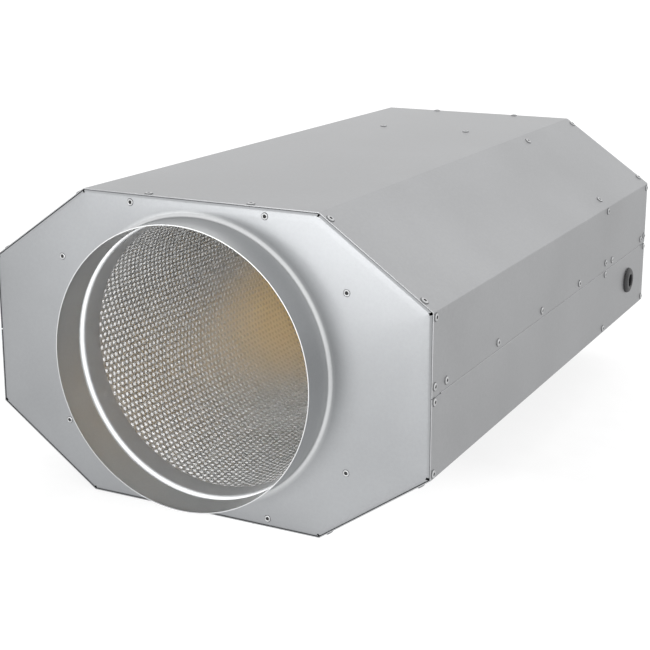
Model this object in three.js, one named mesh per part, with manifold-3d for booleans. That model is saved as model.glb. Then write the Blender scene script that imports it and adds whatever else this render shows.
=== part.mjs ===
// Sound-insulated in-line duct fan: octagonal galvanised sheet-steel casing with a round duct
// spigot at each end, a perforated inner tube backed by fleece and mineral wool, and a
// mixed-flow fan on an external-rotor motor at the rear.
// Units are millimetres, +Z up, duct axis along Y. Origin: middle of the casing's bottom face.
import * as THREE from 'three';
import { mergeVertices } from 'three/addons/utils/BufferGeometryUtils.js';
import Module from 'manifold-3d';

const wasm = await Module();
wasm.setup();
const { Manifold, Mesh: MMesh } = wasm;

// ---- driving dimensions -------------------------------------------------------------------
const CASING_W = 546;        // across the side faces
const CASING_H = 354;        // across the top and bottom faces
const CASING_L = 810;        // plate face to plate face
const TOP_FLAT = 292;        // width of the top and bottom faces
const SIDE_FLAT = 177;       // height of the side faces
const SHEET = 1.0;           // casing and end-plate sheet
const GAP = 0.3;             // clearance between touching pieces
const FLANGE = 20;           // depth of the folded flanges

const SPIGOT_R = 157;        // outside radius of the duct spigots (nominal duct 315)
const SPIGOT_LEN = 45;       // how far each spigot stands out of its end plate
const NECK_FILLET = 6;       // radius where the spigot is drawn out of the plate
const LIP_LEN = 31;          // depth of the inner plate's lip behind the end plate
const TUBE_R = 157.6;        // inside radius of the perforated tube and of the fan housing
const FLEECE_T = 3;
const AXIS_Z = CASING_H / 2;

const SEAM_Z = 0;            // lower edge of the upper shell, from the duct axis
const SEAM_TOP = 20;         // top edge of the lower shell's joggled strip
const SEAM_RIVET_Z = 8.5;
const SEAM_RIVET_Y = [-369, -219, -69, 81, 231, 381];
const PLATE_RIVETS = [[83.5, 167], [178, 97], [178, -97], [83.5, -167], [-83.5, -167], [-178, -97], [-178, 97], [-83.5, 167]];
const RIVET_HEAD_R = 4.75;
const RIVET_SHANK_R = 2.4;

const GROMMET_Y = 319;
const GROMMET_Z = -40;
const BULKHEAD_Y = 189.5;    // front face of the bulkhead's web
const FAN_BLADES = 7;
const GUIDE_VANES = 9;
const SEG = 36;              // facets round the large circles

const END = CASING_L / 2;    // 405: outer face of each end plate

// ---- materials ----------------------------------------------------------------------------
const mats = {
  galvanised: () => new THREE.MeshStandardMaterial({ color: 0xb9bbbd, roughness: 0.38, metalness: 0.9 }),
  perforated: () => new THREE.MeshStandardMaterial({ color: 0xa9abad, roughness: 0.32, metalness: 0.9 }),
  fleece: () => new THREE.MeshStandardMaterial({ color: 0xf2f2ee, roughness: 0.95, metalness: 0 }),
  wool: () => new THREE.MeshStandardMaterial({ color: 0xd9c98a, roughness: 1, metalness: 0 }),
  rivet: () => new THREE.MeshStandardMaterial({ color: 0xc9cbcd, roughness: 0.3, metalness: 0.9 }),
  impeller: () => new THREE.MeshStandardMaterial({ color: 0xd9a22e, roughness: 0.35, metalness: 0.7 }),
  cast: () => new THREE.MeshStandardMaterial({ color: 0x8f9193, roughness: 0.5, metalness: 0.8 }),
  steel: () => new THREE.MeshStandardMaterial({ color: 0xc3c5c8, roughness: 0.25, metalness: 1 }),
  winding: () => new THREE.MeshStandardMaterial({ color: 0x8a4a22, roughness: 0.5, metalness: 0.4 }),
  rubber: () => new THREE.MeshStandardMaterial({ color: 0x141416, roughness: 0.7, metalness: 0 }),
  plastic: () => new THREE.MeshStandardMaterial({ color: 0x2b2d30, roughness: 0.55, metalness: 0 }),
  greyplastic: () => new THREE.MeshStandardMaterial({ color: 0xb8babc, roughness: 0.5, metalness: 0 }),
};

// ---- geometry helpers ---------------------------------------------------------------------
function clean(geo) {
  let g = geo.index ? geo.toNonIndexed() : geo;
  for (const k of Object.keys(g.attributes)) if (k !== 'position') g.deleteAttribute(k);
  g = mergeVertices(g, 1e-4);
  const p = g.attributes.position, idx = g.index.array, keep = [];
  let vol = 0;
  const a = new THREE.Vector3(), b = new THREE.Vector3(), c = new THREE.Vector3();
  for (let i = 0; i < idx.length; i += 3) {
    const [i0, i1, i2] = [idx[i], idx[i + 1], idx[i + 2]];
    if (i0 === i1 || i1 === i2 || i0 === i2) continue;
    a.fromBufferAttribute(p, i0); b.fromBufferAttribute(p, i1); c.fromBufferAttribute(p, i2);
    vol += a.dot(b.clone().cross(c));
    keep.push(i0, i1, i2);
  }
  if (vol < 0) for (let i = 0; i < keep.length; i += 3) { const t = keep[i + 1]; keep[i + 1] = keep[i + 2]; keep[i + 2] = t; }
  g.setIndex(keep);
  return g;
}
function toSolid(geo) {
  const g = clean(geo);
  return new Manifold(new MMesh({
    numProp: 3,
    vertProperties: new Float32Array(g.attributes.position.array),
    triVerts: new Uint32Array(g.index.array),
  }));
}
function fromSolid(solid) {
  const m = solid.getMesh();
  const g = new THREE.BufferGeometry();
  const n = m.numProp, out = new Float32Array(m.vertProperties.length / n * 3);
  for (let i = 0; i < out.length / 3; i++) for (let k = 0; k < 3; k++) out[3 * i + k] = m.vertProperties[n * i + k];
  g.setAttribute('position', new THREE.BufferAttribute(out, 3));
  g.setIndex(new THREE.BufferAttribute(new Uint32Array(m.triVerts), 1));
  g.computeVertexNormals();
  return g;
}
const add = (...s) => s.reduce((a, b) => a.add(b));
const cut = (s, ...tools) => tools.reduce((a, b) => a.subtract(b), s);

// prism of an x-z outline between two y stations
function prism(points, y0, y1, holes = []) {
  const shape = new THREE.Shape(points.map(([x, z]) => new THREE.Vector2(x, z)));
  for (const h of holes) shape.holes.push(new THREE.Path(h.map(([x, z]) => new THREE.Vector2(x, z))));
  const g = new THREE.ExtrudeGeometry(shape, { depth: y1 - y0, bevelEnabled: false, curveSegments: SEG });
  g.rotateX(Math.PI / 2);
  g.translate(0, y1, 0);
  return g;
}
// body of revolution about the duct axis, profile as [r, y] pairs
function turned(profile, seg = SEG) {
  return new THREE.LatheGeometry(profile.map(([r, y]) => new THREE.Vector2(r, y)), seg);
}
const closed = (p) => [...p, p[0]];
// cylinder along +X, +Y or +Z from a start point
function rod(axis, x, y, z, len, r, seg = 16) {
  const g = new THREE.CylinderGeometry(r, r, len, seg);
  g.translate(0, len / 2, 0);
  if (axis === 'x') g.rotateZ(-Math.PI / 2);
  if (axis === 'z') g.rotateX(Math.PI / 2);
  g.translate(x, y, z);
  return g;
}
function block(x0, x1, y0, y1, z0, z1) {
  const g = new THREE.BoxGeometry(x1 - x0, y1 - y0, z1 - z0);
  g.translate((x0 + x1) / 2, (y0 + y1) / 2, (z0 + z1) / 2);
  return g;
}
function circle(r, seg = SEG) {
  return Array.from({ length: seg }, (_, i) => [r * Math.sin(2 * Math.PI * i / seg), r * Math.cos(2 * Math.PI * i / seg)]);
}

// casing outline set in by `off` (sides set in by `sideOff`), anticlockwise from the right side's foot
const A = CASING_W / 2, B = CASING_H / 2;
const RISE = B - SIDE_FLAT / 2, RUN = A - TOP_FLAT / 2;
const NX = RISE / Math.hypot(RISE, RUN), NZ = RUN / Math.hypot(RISE, RUN);
const CSL = NX * A + NZ * SIDE_FLAT / 2;
function corners(off, sideOff = off) {
  const x = A - sideOff, z = B - off, c = CSL - off;
  return { x, z, zs: (c - NX * x) / NZ, xt: (c - NZ * z) / NX };
}
function octagon(off, sideOff = off) {
  const { x, z, zs, xt } = corners(off, sideOff);
  return [[x, -zs], [x, zs], [xt, z], [-xt, z], [-x, zs], [-x, -zs], [-xt, -z], [xt, -z]];
}

const group = new THREE.Group();
group.name = 'silenced_duct_fan';
function put(name, geo, mat) {
  const g = clean(geo);
  g.computeVertexNormals();
  const m = new THREE.Mesh(g, mats[mat]());
  m.name = name;
  m.position.set(0, 0, AXIS_Z);
  group.add(m);
}

// ---- rivets -------------------------------------------------------------------------------
// head stands on the surface at `at`, pointing along `dir` ('-y', '+y', '+x' or '-x')
function rivet(at, dir, grip) {
  const g = new THREE.LatheGeometry([[0, 1.5], [3.2, 1.15], [RIVET_HEAD_R, 0.05], [RIVET_SHANK_R, 0.05], [RIVET_SHANK_R, -grip], [0, -grip]]
    .map(([r, y]) => new THREE.Vector2(r, y)), 8);
  if (dir === '-y') g.rotateX(Math.PI);
  if (dir === '+x') g.rotateZ(-Math.PI / 2);
  if (dir === '-x') g.rotateZ(Math.PI / 2);
  g.translate(...at);
  return g;
}
const plateHoles = PLATE_RIVETS.map(([x, z]) => toSolid(rod('y', x, -END - 30, z, CASING_L + 60, RIVET_SHANK_R + 0.25, 8)));
const seamHoles = SEAM_RIVET_Y.map((y) => toSolid(rod('x', -A - 20, y, SEAM_RIVET_Z, CASING_W + 40, RIVET_SHANK_R + 0.25, 8)));

// ---- casing shells ------------------------------------------------------------------------
{
  const o = corners(0), i = corners(SHEET);
  const upper = [[o.x, SEAM_Z], [o.x, o.zs], [o.xt, o.z], [-o.xt, o.z], [-o.x, o.zs], [-o.x, SEAM_Z],
    [-i.x, SEAM_Z], [-i.x, i.zs], [-i.xt, i.z], [i.xt, i.z], [i.x, i.zs], [i.x, SEAM_Z]];
  put('upper_casing_shell', fromSolid(cut(toSolid(prism(upper, -END, END)), ...seamHoles)), 'galvanised');

  const jo = A - SHEET - GAP, ji = jo - SHEET;      // joggled strip, outer and inner faces
  const zb = SEAM_Z - GAP, zj = SEAM_Z - 2.2;       // top of the flush face, foot of the joggle
  const strip = (s) => [[s * o.x, zj], [s * jo, zb], [s * jo, SEAM_TOP], [s * ji, SEAM_TOP], [s * ji, zb - 0.4], [s * i.x, zj - 0.6]];
  const right = strip(1), left = strip(-1);
  const lower = [[o.xt, -o.z], [o.x, -o.zs], ...right, [i.x, -i.zs], [i.xt, -i.z],
    [-i.xt, -i.z], [-i.x, -i.zs], ...left.reverse(), [-o.x, -o.zs], [-o.xt, -o.z]];
  // the strip stops short of the end plates' flanges
  const relief = [];
  for (const s of [-1, 1]) for (const e of [-1, 1]) {
    const x0 = s > 0 ? ji - 2 : -o.x - 2, x1 = s > 0 ? o.x + 2 : -ji + 2;
    const y0 = e > 0 ? END - FLANGE - 3 : -END - 2, y1 = e > 0 ? END + 2 : -END + FLANGE + 3;
    relief.push(toSolid(block(x0, x1, y0, y1, zj - 0.8, SEAM_TOP + 2)));
  }
  const entry = toSolid(rod('x', A - 20, GROMMET_Y, GROMMET_Z, 40, 14.3, 20));
  put('lower_casing_shell', fromSolid(cut(toSolid(prism(lower, -END, END)), ...relief, ...seamHoles, entry)), 'galvanised');
}

// ---- end plates with drawn spigots --------------------------------------------------------
// quarter arc of radius r round (cx, cy) in the r-y plane
function arc(cx, cy, r, a0, a1, n = 2) {
  return Array.from({ length: n + 1 }, (_, k) => {
    const a = (a0 + (a1 - a0) * k / n) * Math.PI / 180;
    return [cx + r * Math.cos(a), cy + r * Math.sin(a)];
  });
}
function endPlate(e) {              // e = -1 front, +1 rear
  const f = NECK_FILLET, ro = SPIGOT_R, ri = SPIGOT_R - SHEET;
  const Y = (d) => e * (END - d);   // d = depth behind the outer face
  const span = (d0, d1) => [Math.min(Y(d0), Y(d1)), Math.max(Y(d0), Y(d1))];
  const off = SHEET + GAP;
  const cup = cut(
    toSolid(prism(octagon(off), ...span(0, FLANGE))),
    toSolid(prism(octagon(off + SHEET), ...span(SHEET, FLANGE + 5))),
    toSolid(turned([[0, Y(-3)], [ro + f + 3, Y(-3)], [ro + f + 3, Y(5)], [0, Y(5)]])));
  // neck: outer fillet centre at (ro + f, -f), inner fillet one sheet thicker
  const outer = arc(ro + f, -f, f, 90, 180).map(([r, d]) => [r, Y(d)]);
  const inner = arc(ro + f, -f, f + SHEET, 180, 90).map(([r, d]) => [r, Y(d)]);
  const neck = toSolid(turned(closed([[ro + f + 4, Y(0)], ...outer, [ro, Y(-SPIGOT_LEN)], [ri, Y(-SPIGOT_LEN)], ...inner, [ro + f + 4, Y(SHEET)]])));
  return fromSolid(cut(add(cup, neck), ...plateHoles));
}
put('front_end_plate', endPlate(-1), 'galvanised');
put('rear_end_plate', endPlate(1), 'galvanised');

// ---- inner plates: hold the wool back and centre the tube on a drawn lip -------------------
function innerPlate(e) {
  const f = 4, lo = SPIGOT_R, li = SPIGOT_R - SHEET;
  const Y = (d) => e * (END - d);
  const d0 = SHEET + GAP, d1 = d0 + SHEET;
  const span = [Math.min(Y(d0), Y(d1)), Math.max(Y(d0), Y(d1))];
  const web = cut(toSolid(prism(octagon(4), ...span)),
    toSolid(turned([[0, Y(-3)], [lo + f + 3, Y(-3)], [lo + f + 3, Y(8)], [0, Y(8)]])));
  const face = arc(li + f + SHEET, d0 + f + SHEET, f + SHEET, -90, -180).map(([r, d]) => [r, Y(d)]);
  const back = arc(li + f + SHEET, d0 + f + SHEET, f, 180, 270).map(([r, d]) => [r, Y(d)]);
  const lip = toSolid(turned(closed([[lo + f + 4, Y(d0)], ...face, [li, Y(LIP_LEN)], [lo, Y(LIP_LEN)], ...back, [lo + f + 4, Y(d1)]])));
  return fromSolid(cut(add(web, lip), ...plateHoles));
}
put('front_inner_plate', innerPlate(-1), 'galvanised');
put('rear_inner_plate', innerPlate(1), 'galvanised');

// ---- bulkhead -----------------------------------------------------------------------------
{
  const t = 1.5, y0 = BULKHEAD_Y, y1 = y0 + t, off = SHEET + GAP, side = 2 * off + 0.1;
  const cup = cut(toSolid(prism(octagon(off, side), y0, y0 + FLANGE + 1)),
    toSolid(prism(octagon(off + t, side + t), y1, y0 + FLANGE + 5)),
    toSolid(turned([[0, y0 - 3], [163, y0 - 3], [163, y1 + 3], [0, y1 + 3]])));
  const lip = toSolid(turned(closed([[164, y1], [164, y0], [160.5, y0], [157.2, y0 - 3.3], [157.2, y0 - 24], [156, y0 - 24], [156, y0 - 2], [159.5, y1]])));
  put('bulkhead_plate', fromSolid(add(cup, lip)), 'galvanised');
}

// ---- silencer section ---------------------------------------------------------------------
const TUBE_Y0 = -END + 10, TUBE_Y1 = BULKHEAD_Y - 5;
put('front_perforated_tube', turned(closed([[TUBE_R, TUBE_Y0], [TUBE_R + SHEET, TUBE_Y0], [TUBE_R + SHEET, TUBE_Y1], [TUBE_R, TUBE_Y1]])), 'perforated');
const fl0 = TUBE_R + SHEET + GAP, fl1 = fl0 + FLEECE_T;
put('front_fleece_wrap', turned(closed([[fl0, TUBE_Y0 + 1], [fl1, TUBE_Y0 + 1], [fl1, TUBE_Y1 - 1], [fl0, TUBE_Y1 - 1]])), 'fleece');

function wool(name, upper, y0, y1, r, pocket) {
  const full = toSolid(prism(octagon(9), y0, y1));
  const core = toSolid(turned([[0, y0 - 5], [r, y0 - 5], [r, y1 + 5], [0, y1 + 5]]));
  const half = upper ? toSolid(block(-300, 300, y0 - 9, y1 + 9, -200, 0.15)) : toSolid(block(-300, 300, y0 - 9, y1 + 9, -0.15, 200));
  put(name, fromSolid(cut(full, core, half, ...pocket)), 'wool');
}
wool('front_wool_upper', true, -END + 9, BULKHEAD_Y - GAP - 0.2, fl1 + GAP, []);
wool('front_wool_lower', false, -END + 9, BULKHEAD_Y - GAP - 0.2, fl1 + GAP, []);
const pocket = toSolid(block(138, 300, BULKHEAD_Y - 5, END, -130, 4));
wool('rear_wool_upper', true, BULKHEAD_Y + 4, END - 9, 163, [toSolid(block(-300, 300, BULKHEAD_Y - 20, BULKHEAD_Y + FLANGE + 2, 150, 200))]);
wool('rear_wool_lower', false, BULKHEAD_Y + 4, END - 9, 163, [pocket]);

// ---- fan housing and inlet cone -----------------------------------------------------------
const HOUSE_Y0 = BULKHEAD_Y + 1.5 + GAP, HOUSE_Y1 = END - 10;
const LEAD_Y = 345, LEAD_Z = GROMMET_Z;
const leadHole = (x0, len) => toSolid(rod('x', x0, LEAD_Y, LEAD_Z, len, 5.2, 12));
{
  const r0 = TUBE_R, r1 = TUBE_R + 2;
  const shell = toSolid(turned(closed([[r0, HOUSE_Y0], [162.5, HOUSE_Y0], [162.5, HOUSE_Y0 + 2], [r1, HOUSE_Y0 + 2], [r1, HOUSE_Y1], [r0, HOUSE_Y1]])));
  put('fan_housing', fromSolid(cut(shell, leadHole(120, 60))), 'galvanised');
}
put('fan_inlet_cone', turned(closed([[157.3, HOUSE_Y0 + 0.5], [157.3, HOUSE_Y0 + 9], [155.8, HOUSE_Y0 + 9], [155.8, HOUSE_Y0 + 3],
  [145.5, HOUSE_Y0 + 11], [141.2, HOUSE_Y0 + 24], [139.7, HOUSE_Y0 + 24], [144.2, HOUSE_Y0 + 9.8], [155, HOUSE_Y0 + 0.5]])), 'galvanised');

// ---- blades and vanes ---------------------------------------------------------------------
// thin closed sheet: u runs from root to tip, v from leading to trailing edge
function sheetBlade(pos, half, nu = 2, nv = 4) {
  const verts = [], tris = [];
  const id = (s, i, j) => s * (nu + 1) * (nv + 1) + i * (nv + 1) + j;
  for (const s of [-1, 1]) for (let i = 0; i <= nu; i++) for (let j = 0; j <= nv; j++) verts.push(...pos(i / nu, j / nv, s * half));
  for (let i = 0; i < nu; i++) for (let j = 0; j < nv; j++) {
    for (const [s, f] of [[0, false], [1, true]]) {
      const q = [id(s, i, j), id(s, i + 1, j), id(s, i + 1, j + 1), id(s, i, j + 1)];
      if (f) q.reverse();
      tris.push(q[0], q[1], q[2], q[0], q[2], q[3]);
    }
  }
  const rim = [];
  for (let i = 0; i < nu; i++) rim.push([i, 0]);
  for (let j = 0; j < nv; j++) rim.push([nu, j]);
  for (let i = nu; i > 0; i--) rim.push([i, nv]);
  for (let j = nv; j > 0; j--) rim.push([0, j]);
  for (let k = 0; k < rim.length; k++) {
    const [i0, j0] = rim[k], [i1, j1] = rim[(k + 1) % rim.length];
    const a = id(0, i0, j0), b = id(0, i1, j1), c = id(1, i1, j1), d = id(1, i0, j0);
    tris.push(a, c, b, a, d, c);
  }
  const g = new THREE.BufferGeometry();
  g.setAttribute('position', new THREE.BufferAttribute(new Float32Array(verts), 3));
  g.setIndex(tris);
  return g;
}
const polar = (r, th, y) => [r * Math.cos(th), y, r * Math.sin(th)];

// ---- impeller hub and blades, nose cone, rotor can, shaft -------------------------------------------------
const HUB_Y0 = 213, HUB_Y1 = 285;           // impeller hub, front and rear
const hubR = (y) => 75 + 20 * (y - HUB_Y0) / (HUB_Y1 - HUB_Y0);
put('impeller_hub', turned(closed([[63.3, HUB_Y0], [hubR(HUB_Y0), HUB_Y0], [hubR(HUB_Y1), HUB_Y1], [hubR(HUB_Y1) - 3, HUB_Y1],
  [hubR(HUB_Y0 + 4) - 3, HUB_Y0 + 4], [66.3, HUB_Y0 + 4], [66.3, HUB_Y1], [63.3, HUB_Y1]]), 35), 'impeller');
for (let k = 0; k < FAN_BLADES; k++) {
  const base = 2 * Math.PI * k / FAN_BLADES + 0.06;
  put(`impeller_blade_${k + 1}`, sheetBlade((u, v, h) => {
    const y = HUB_Y0 + 11 + 52 * v - 3 * u;
    const root = hubR(y) + 3 * GAP, tip = 151.5;
    const r = root + (tip - root) * u;
    const wrap = (0.95 - 0.3 * u) * v + 0.18 * Math.sin(Math.PI * v) * (1 - 0.4 * u) - 0.22 * u;
    return polar(r, base + wrap + h * 1.0 / r, y + h * 0.75);
  }, 1.3, 3, 5), 'galvanised');
}
put('nose_cone', turned([[0, HUB_Y0 - 26], [30, HUB_Y0 - 23], [56, HUB_Y0 - 13], [74.5, HUB_Y0 - 0.3], [62.8, HUB_Y0 - 0.3],
  [62.8, HUB_Y0 + 3.5], [60.8, HUB_Y0 + 3.5], [60.8, HUB_Y0 - 5], [29, HUB_Y0 - 20.5], [0, HUB_Y0 - 23.4]], 24), 'impeller');
const SHAFT_R = 7.9;
put('motor_rotor_can', turned(closed([[SHAFT_R + 0.15, 222], [63, 222], [63, 288], [60, 288], [60, 226], [SHAFT_R + 0.15, 226]]), 35), 'steel');
put('motor_shaft', turned([[0, 217], [SHAFT_R, 217], [SHAFT_R, 305], [0, 305]], 24), 'steel');

// ---- guide vanes with motor mount, stator, bearings ---------------------------------------
{
  const hubO = 72, hubI = 69.5;
  let g = toSolid(turned(closed([[13, 233], [20, 233], [20, 296], [hubO, 296], [hubO, 366], [hubI, 366], [hubI, 300], [13, 300]]), 18));
  g = g.add(toSolid(turned(closed([[155.2, 300], [157.3, 300], [157.3, 336], [155.2, 336]]))));
  for (let k = 0; k < GUIDE_VANES; k++) {
    const base = 2 * Math.PI * (k + 0.5) / GUIDE_VANES + 0.14;
    g = g.add(toSolid(sheetBlade((u, v, h) => {
      const y = 302 + 32 * v, r = 70.3 + (156.2 - 70.3) * u;
      const bend = -0.30 * (1 - v) * (1 - v) * (1 - 0.35 * u);
      return polar(r, base + bend + h / r, y + h * 0.25);
    }, 1.1, 1, 3)));
  }
  put('guide_vane_ring', fromSolid(cut(g, leadHole(40, 60))), 'cast');
}
put('motor_stator', turned(closed([[20.3, 231], [46, 231], [46, 238], [57, 238], [57, 279], [46, 279], [46, 287], [20.3, 287]]), 20), 'winding');
const brg = (name, y) => put(name, turned(closed([[SHAFT_R + 0.15, y], [12.7, y], [12.7, y + 11], [SHAFT_R + 0.15, y + 11]]), 24), 'steel');
brg('front_bearing', 236);
brg('rear_bearing', 286);
put('motor_rear_cover', turned([[0, 361], [69.2, 361], [69.2, 364.5], [58, 366.5], [0, 366.5]], 18), 'cast');

// ---- terminal box, capacitor, internal lead, grommet --------------------------------------
{
  const y0 = 279, y1 = 359, z0 = -75, z1 = -5;
  let base = cut(toSolid(block(172, 212, y0, y1, z0, z1)), toSolid(block(175, 215, y0 + 3, y1 - 3, z0 + 3, z1 - 3)));
  const feet = cut(add(toSolid(block(140, 173, y0 + 4, y0 + 16, z0 + 4, z1 - 4)), toSolid(block(140, 173, y1 - 8, y1, z0 + 4, z1 - 4))),
    toSolid(turned([[0, 200], [TUBE_R + 2 + GAP, 200], [TUBE_R + 2 + GAP, 400], [0, 400]])));
  const saddle = toSolid(block(184.7, 187.7, y0 + 8, y1 - 8, -124, z0 + 1));
  base = cut(add(base, feet, saddle), leadHole(150, 40));
  put('terminal_box_base', fromSolid(base), 'plastic');
  put('terminal_box_lid', fromSolid(add(toSolid(block(212.3, 215.3, y0 - 1, y1 + 1, z0 - 1, z1 + 1)), toSolid(block(209, 213, y0 + 3.4, y0 + 6, z0 + 8, z1 - 8)))), 'plastic');
  put('terminal_block', block(175.3, 190, 294, 332, -60, -20), 'greyplastic');
  put('run_capacitor', turned([[0, -32], [16, -32], [17, -31], [17, 31], [16, 32], [5, 32], [5, 37], [0, 37]], 20).translate(205, 319, -104), 'greyplastic');
}
put('motor_lead', rod('x', 62, LEAD_Y, LEAD_Z, 120, 4, 12), 'rubber');
{
  const x = A;
  const prof = closed([[9, -5], [9, 4.4], [14, 5], [18, 2.2], [18, GAP], [13.8, GAP], [13.8, -SHEET - GAP], [16.6, -SHEET - GAP], [14, -5]]);
  const g = new THREE.LatheGeometry(prof.map(([r, h]) => new THREE.Vector2(r, h)), 20);
  g.rotateZ(-Math.PI / 2);
  g.translate(x, GROMMET_Y, GROMMET_Z);
  put('cable_grommet', g, 'rubber');
}

// ---- rivets -------------------------------------------------------------------------------
const PLATE_NAMES = ['top_right', 'upper_right', 'lower_right', 'bottom_right', 'bottom_left', 'lower_left', 'upper_left', 'top_left'];
PLATE_RIVETS.forEach(([x, z], k) => {
  put(`front_plate_rivet_${PLATE_NAMES[k]}`, rivet([x, -END, z], '-y', 6), 'rivet');
  put(`rear_plate_rivet_${PLATE_NAMES[k]}`, rivet([x, END, z], '+y', 6), 'rivet');
});
SEAM_RIVET_Y.forEach((y, k) => {
  put(`right_seam_rivet_${k + 1}`, rivet([A, y, SEAM_RIVET_Z], '+x', 5), 'rivet');
});

export default group;
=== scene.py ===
import math
import random

import bpy
from mathutils import Matrix, Vector


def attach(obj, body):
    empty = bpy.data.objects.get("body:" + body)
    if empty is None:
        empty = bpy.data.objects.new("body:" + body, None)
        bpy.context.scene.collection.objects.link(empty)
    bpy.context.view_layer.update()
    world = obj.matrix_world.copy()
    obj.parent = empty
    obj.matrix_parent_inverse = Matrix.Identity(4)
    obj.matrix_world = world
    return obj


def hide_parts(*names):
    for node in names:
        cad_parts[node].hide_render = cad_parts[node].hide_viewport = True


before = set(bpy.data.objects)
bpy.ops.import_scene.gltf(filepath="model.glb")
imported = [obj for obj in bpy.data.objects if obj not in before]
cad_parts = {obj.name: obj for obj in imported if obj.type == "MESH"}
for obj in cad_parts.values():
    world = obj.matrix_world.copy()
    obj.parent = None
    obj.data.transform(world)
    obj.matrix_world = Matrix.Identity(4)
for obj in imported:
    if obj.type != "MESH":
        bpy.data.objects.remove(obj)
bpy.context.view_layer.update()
MM = 0.001

# ---- dimensions, in millimetres, as the CAD has them ----------------------------------------
AX = 177.0                      # height of the duct axis
A, B = 273.0, 177.0             # half width, half height of the casing
XT, ZS = 146.0, 88.5            # where the slanted faces begin, on top and at the side
END = 405.0                     # outer face of each end plate
SHEET = 1.0
GAP = 0.3
SPIGOT_R, SPIGOT_LEN = 157.0, 45.0
TUBE_R = 157.6
FLANGE = 20.0
SEAM_Z = 0.0
SEAM_RIVET_Z = 8.5
SEAM_RIVET_Y = (-369, -219, -69, 81, 231, 381)
PLATE_RIVETS = {"top_right": (83.5, 167), "upper_right": (178, 97), "lower_right": (178, -97), "bottom_right": (83.5, -167),
                "bottom_left": (-83.5, -167), "lower_left": (-178, -97), "upper_left": (-178, 97), "top_left": (-83.5, 167)}
GROMMET_Y, GROMMET_Z = 319.0, -40.0
BULK_Y = 189.5


# ---- materials ------------------------------------------------------------------------------
class Nodes:
    """A small wrapper for building a node tree."""

    def __init__(self, name):
        self.mat = bpy.data.materials.new(name)
        self.mat.use_nodes = True
        self.t = self.mat.node_tree
        self.t.nodes.clear()
        self.out = self.t.nodes.new("ShaderNodeOutputMaterial")
        self.bsdf = self.t.nodes.new("ShaderNodeBsdfPrincipled")
        self.t.links.new(self.bsdf.outputs[0], self.out.inputs[0])
        self.coord = self.t.nodes.new("ShaderNodeTexCoord").outputs["Object"]

    def add(self, kind, **values):
        n = self.t.nodes.new(kind)
        for k, v in values.items():
            setattr(n, k, v)
        return n

    def link(self, a, b):
        self.t.links.new(a, b)

    def mapping(self, scale=(1, 1, 1), rot=(0, 0, 0)):
        n = self.add("ShaderNodeMapping")
        n.inputs["Scale"].default_value = scale
        n.inputs["Rotation"].default_value = rot
        self.link(self.coord, n.inputs["Vector"])
        return n.outputs[0]

    def noise(self, scale, detail=3.0, rough=0.5, vec=None, distortion=0.0):
        n = self.add("ShaderNodeTexNoise")
        n.inputs["Scale"].default_value = scale
        n.inputs["Detail"].default_value = detail
        n.inputs["Roughness"].default_value = rough
        n.inputs["Distortion"].default_value = distortion
        self.link(vec or self.coord, n.inputs["Vector"])
        return n.outputs["Fac"]

    def voronoi(self, scale, vec=None, out="Color", feature="F1", randomness=1.0):
        n = self.add("ShaderNodeTexVoronoi", feature=feature)
        n.inputs["Scale"].default_value = scale
        n.inputs["Randomness"].default_value = randomness
        self.link(vec or self.coord, n.inputs["Vector"])
        return n.outputs[out]

    def math(self, op, a, b=None, c=None, clamp=False):
        n = self.add("ShaderNodeMath", operation=op, use_clamp=clamp)
        for i, v in enumerate((a, b, c)):
            if v is None:
                continue
            if isinstance(v, (int, float)):
                n.inputs[i].default_value = v
            else:
                self.link(v, n.inputs[i])
        return n.outputs[0]

    def ramp(self, fac, stops):
        n = self.add("ShaderNodeValToRGB")
        e = n.color_ramp.elements
        while len(e) < len(stops):
            e.new(0.5)
        for s, (p, c) in zip(e, stops):
            s.position = p
            s.color = (*c, 1) if len(c) == 3 else c
        self.link(fac, n.inputs[0])
        return n.outputs[0]

    def range(self, v, a0, a1, b0, b1):
        n = self.add("ShaderNodeMapRange")
        for k, x in zip(("From Min", "From Max", "To Min", "To Max"), (a0, a1, b0, b1)):
            n.inputs[k].default_value = x
        self.link(v, n.inputs[0])
        return n.outputs[0]

    def mix(self, fac, a, b):
        n = self.add("ShaderNodeMix", data_type="RGBA")
        for sock, v in ((n.inputs[0], fac), (n.inputs[6], a), (n.inputs[7], b)):
            if isinstance(v, (int, float)):
                sock.default_value = v
            elif isinstance(v, tuple):
                sock.default_value = (*v, 1)
            else:
                self.link(v, sock)
        return n.outputs[2]

    def bump(self, height, strength, distance):
        n = self.add("ShaderNodeBump")
        n.inputs["Strength"].default_value = strength
        n.inputs["Distance"].default_value = distance
        self.link(height, n.inputs["Height"])
        self.link(n.outputs[0], self.bsdf.inputs["Normal"])

    def set(self, **values):
        for k, v in values.items():
            sock = self.bsdf.inputs[k.replace("_", " ")]
            if isinstance(v, (int, float)):
                sock.default_value = v
            elif isinstance(v, tuple):
                sock.default_value = (*v, 1)
            else:
                self.link(v, sock)


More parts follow.
